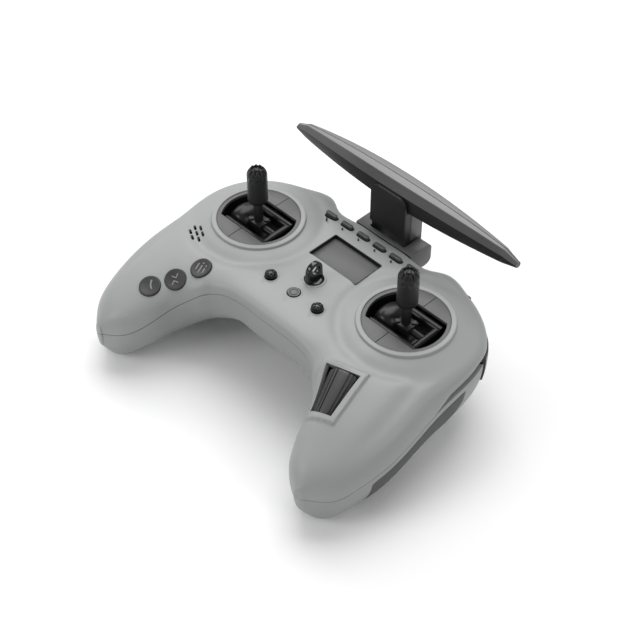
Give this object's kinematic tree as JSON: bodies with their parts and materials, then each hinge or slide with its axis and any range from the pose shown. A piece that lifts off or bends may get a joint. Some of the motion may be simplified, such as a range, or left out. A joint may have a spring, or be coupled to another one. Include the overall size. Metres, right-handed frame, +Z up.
{
  "type": "radio transmitter controller",
  "caption": "Two-stick gamepad-shaped model radio transmitter with a small screen, keys, a thumb roller and a folding T antenna.",
  "frame": {"origin": "middle of the flat base of the rear bay cover in X, on the line between the two stick centres in Y, at the height of the surface it rests on", "axes": "+X to the user's right, +Y away from the user, +Z up out of the control face"},
  "size_m": [0.1552, 0.1223, 0.0736],
  "materials": {
    "case_grey": "fine matt grain",
    "grip_rubber": "soft matt rubber",
    "black_plastic": "satin black moulding",
    "cover_grey": "satin dark grey",
    "key_grey": "satin grey keys",
    "stick_metal": "black anodised",
    "steel": "plated",
    "screen_glass": "anti-glare window",
    "light_guide": "clear acrylic",
    "board_green": "solder mask",
    "battery_wrap": "shrink wrap",
    "copper": "bare strip",
    "antenna_dark": "satin dark grey",
    "gloss_black": "polished black"
  },
  "bodies": {
    "case": {"upper_shell": "case_grey", "lower_shell": "case_grey", "module_bay_cover": "case_grey", "battery_pack": "battery_wrap", "radio_module": "board_green", "main_board": "board_green", "display_module": "cover_grey", "display_window": "screen_glass", "led_guides": "light_guide", "strap_eye": "gloss_black", "speaker": "black_plastic", "roller_bearings": "black_plastic", "usb_port": "steel", "case_screws": "steel", "antenna_bracket": "case_grey", "hinge_pin": "steel", "gimbal_housing_left": "black_plastic", "gimbal_cover_left": "cover_grey", "trim_socket_left": "black_plastic", "grip_pad_left": "grip_rubber", "gimbal_housing_right": "black_plastic", "gimbal_cover_right": "cover_grey", "trim_socket_right": "black_plastic", "grip_pad_right": "grip_rubber"},
    "menu_key_1": {"menu_button_1": "key_grey"},
    "menu_key_2": {"menu_button_2": "key_grey"},
    "menu_key_3": {"menu_button_3": "key_grey"},
    "menu_key_4": {"menu_button_4": "key_grey"},
    "menu_key_5": {"menu_button_5": "key_grey"},
    "menu_key_6": {"menu_button_6": "key_grey"},
    "function_key_1": {"function_button_1": "cover_grey"},
    "function_key_2": {"function_button_2": "cover_grey"},
    "function_key_3": {"function_button_3": "cover_grey"},
    "power_key": {"power_button": "key_grey"},
    "yoke_left": {"gimbal_yoke_left": "black_plastic"},
    "stick_left": {"stick_shaft_left": "stick_metal", "stick_grip_left": "stick_metal"},
    "trim_ring_left": {"trim_cradle_left": "black_plastic"},
    "trim_left": {"trim_hat_left": "gloss_black"},
    "shoulder_key_left": {"shoulder_button_left": "black_plastic"},
    "rocker_left": {"shoulder_rocker_left": "black_plastic"},
    "yoke_right": {"gimbal_yoke_right": "black_plastic"},
    "stick_right": {"stick_shaft_right": "stick_metal", "stick_grip_right": "stick_metal"},
    "trim_ring_right": {"trim_cradle_right": "black_plastic"},
    "trim_right": {"trim_hat_right": "gloss_black"},
    "shoulder_key_right": {"shoulder_button_right": "black_plastic"},
    "rocker_right": {"shoulder_rocker_right": "black_plastic"},
    "roller": {"roller_wheel": "black_plastic"},
    "antenna": {"antenna_mast": "antenna_dark", "antenna_bar_front": "antenna_dark", "antenna_bar_back": "antenna_dark", "antenna_element": "copper"}
  },
  "joints": [
    {"name": "menu_key_1_press", "type": "slide", "parent": "case", "child": "menu_key_1", "axis": [0, 0, -1], "range_m": [0, 0.0004], "stiffness_N_per_m": 400, "springref_m": -0.0004},
    {"name": "menu_key_2_press", "type": "slide", "parent": "case", "child": "menu_key_2", "axis": [0, 0, -1], "range_m": [0, 0.0004], "stiffness_N_per_m": 400, "springref_m": -0.0004},
    {"name": "menu_key_3_press", "type": "slide", "parent": "case", "child": "menu_key_3", "axis": [0, 0, -1], "range_m": [0, 0.0004], "stiffness_N_per_m": 400, "springref_m": -0.0004},
    {"name": "menu_key_4_press", "type": "slide", "parent": "case", "child": "menu_key_4", "axis": [0, 0, -1], "range_m": [0, 0.0004], "stiffness_N_per_m": 400, "springref_m": -0.0004},
    {"name": "menu_key_5_press", "type": "slide", "parent": "case", "child": "menu_key_5", "axis": [0, 0, -1], "range_m": [0, 0.0004], "stiffness_N_per_m": 400, "springref_m": -0.0004},
    {"name": "menu_key_6_press", "type": "slide", "parent": "case", "child": "menu_key_6", "axis": [0, 0, -1], "range_m": [0, 0.0004], "stiffness_N_per_m": 400, "springref_m": -0.0004},
    {"name": "function_key_1_press", "type": "slide", "parent": "case", "child": "function_key_1", "axis": [0.0973, 0.3629, -0.9267], "range_m": [0, 0.0004], "stiffness_N_per_m": 400, "springref_m": -0.0004},
    {"name": "function_key_2_press", "type": "slide", "parent": "case", "child": "function_key_2", "axis": [-0.2159, 0.4365, -0.8734], "range_m": [0, 0.0004], "stiffness_N_per_m": 400, "springref_m": -0.0004},
    {"name": "function_key_3_press", "type": "slide", "parent": "case", "child": "function_key_3", "axis": [-0.1154, 0.34, -0.9333], "range_m": [0, 0.0004], "stiffness_N_per_m": 400, "springref_m": -0.0004},
    {"name": "power_key_press", "type": "slide", "parent": "case", "child": "power_key", "axis": [0, 0, -1], "range_m": [0, 0.0005], "stiffness_N_per_m": 400, "springref_m": -0.0004},
    {"name": "stick_left_sideways", "type": "hinge", "parent": "case", "child": "yoke_left", "pos_m": [-0.043, 0, 0.0424], "axis": [0, 1, 0], "range_deg": [-24, 24], "stiffness_Nm_per_rad": 0.06},
    {"name": "stick_left_fore_aft", "type": "hinge", "parent": "yoke_left", "child": "stick_left", "pos_m": [-0.043, 0, 0.0424], "axis": [1, 0, 0], "range_deg": [-24, 24]},
    {"name": "trim_left_sideways", "type": "hinge", "parent": "case", "child": "trim_ring_left", "pos_m": [-0.01355, -0.02045, 0.0398], "axis": [0, 1, 0], "range_deg": [-6, 6], "stiffness_Nm_per_rad": 0.01},
    {"name": "trim_left_fore_aft", "type": "hinge", "parent": "trim_ring_left", "child": "trim_left", "pos_m": [-0.01355, -0.02045, 0.0398], "axis": [1, 0, 0], "range_deg": [-6, 6], "stiffness_Nm_per_rad": 0.01},
    {"name": "shoulder_key_left_press", "type": "slide", "parent": "case", "child": "shoulder_key_left", "axis": [0.6534, -0.757, 0], "range_m": [0, 0.0008], "stiffness_N_per_m": 500, "springref_m": -0.0004},
    {"name": "rocker_left_press", "type": "slide", "parent": "case", "child": "rocker_left", "axis": [0, -1, 0], "range_m": [0, 0.0008], "stiffness_N_per_m": 400, "springref_m": -0.0004},
    {"name": "stick_right_sideways", "type": "hinge", "parent": "case", "child": "yoke_right", "pos_m": [0.043, 0, 0.0424], "axis": [0, 1, 0], "range_deg": [-24, 24], "stiffness_Nm_per_rad": 0.06},
    {"name": "stick_right_fore_aft", "type": "hinge", "parent": "yoke_right", "child": "stick_right", "pos_m": [0.043, 0, 0.0424], "axis": [1, 0, 0], "range_deg": [-24, 24], "stiffness_Nm_per_rad": 0.06},
    {"name": "trim_right_sideways", "type": "hinge", "parent": "case", "child": "trim_ring_right", "pos_m": [0.01355, -0.02045, 0.0398], "axis": [0, 1, 0], "range_deg": [-6, 6], "stiffness_Nm_per_rad": 0.01},
    {"name": "trim_right_fore_aft", "type": "hinge", "parent": "trim_ring_right", "child": "trim_right", "pos_m": [0.01355, -0.02045, 0.0398], "axis": [1, 0, 0], "range_deg": [-6, 6], "stiffness_Nm_per_rad": 0.01},
    {"name": "shoulder_key_right_press", "type": "slide", "parent": "case", "child": "shoulder_key_right", "axis": [-0.6534, -0.757, 0], "range_m": [0, 0.0008], "stiffness_N_per_m": 500, "springref_m": -0.0004},
    {"name": "rocker_right_press", "type": "slide", "parent": "case", "child": "rocker_right", "axis": [0, -1, 0], "range_m": [0, 0.0008], "stiffness_N_per_m": 400, "springref_m": -0.0004},
    {"name": "roller_spin", "type": "hinge", "parent": "case", "child": "roller", "pos_m": [0.04637, -0.04268, 0.03582], "axis": [-0.2695, 0.9133, 0.3054], "continuous": true},
    {"name": "antenna_fold", "type": "hinge", "parent": "case", "child": "antenna", "pos_m": [0, 0.0406, 0.0365], "axis": [1, 0, 0], "range_deg": [-90, 0]}
  ]
}
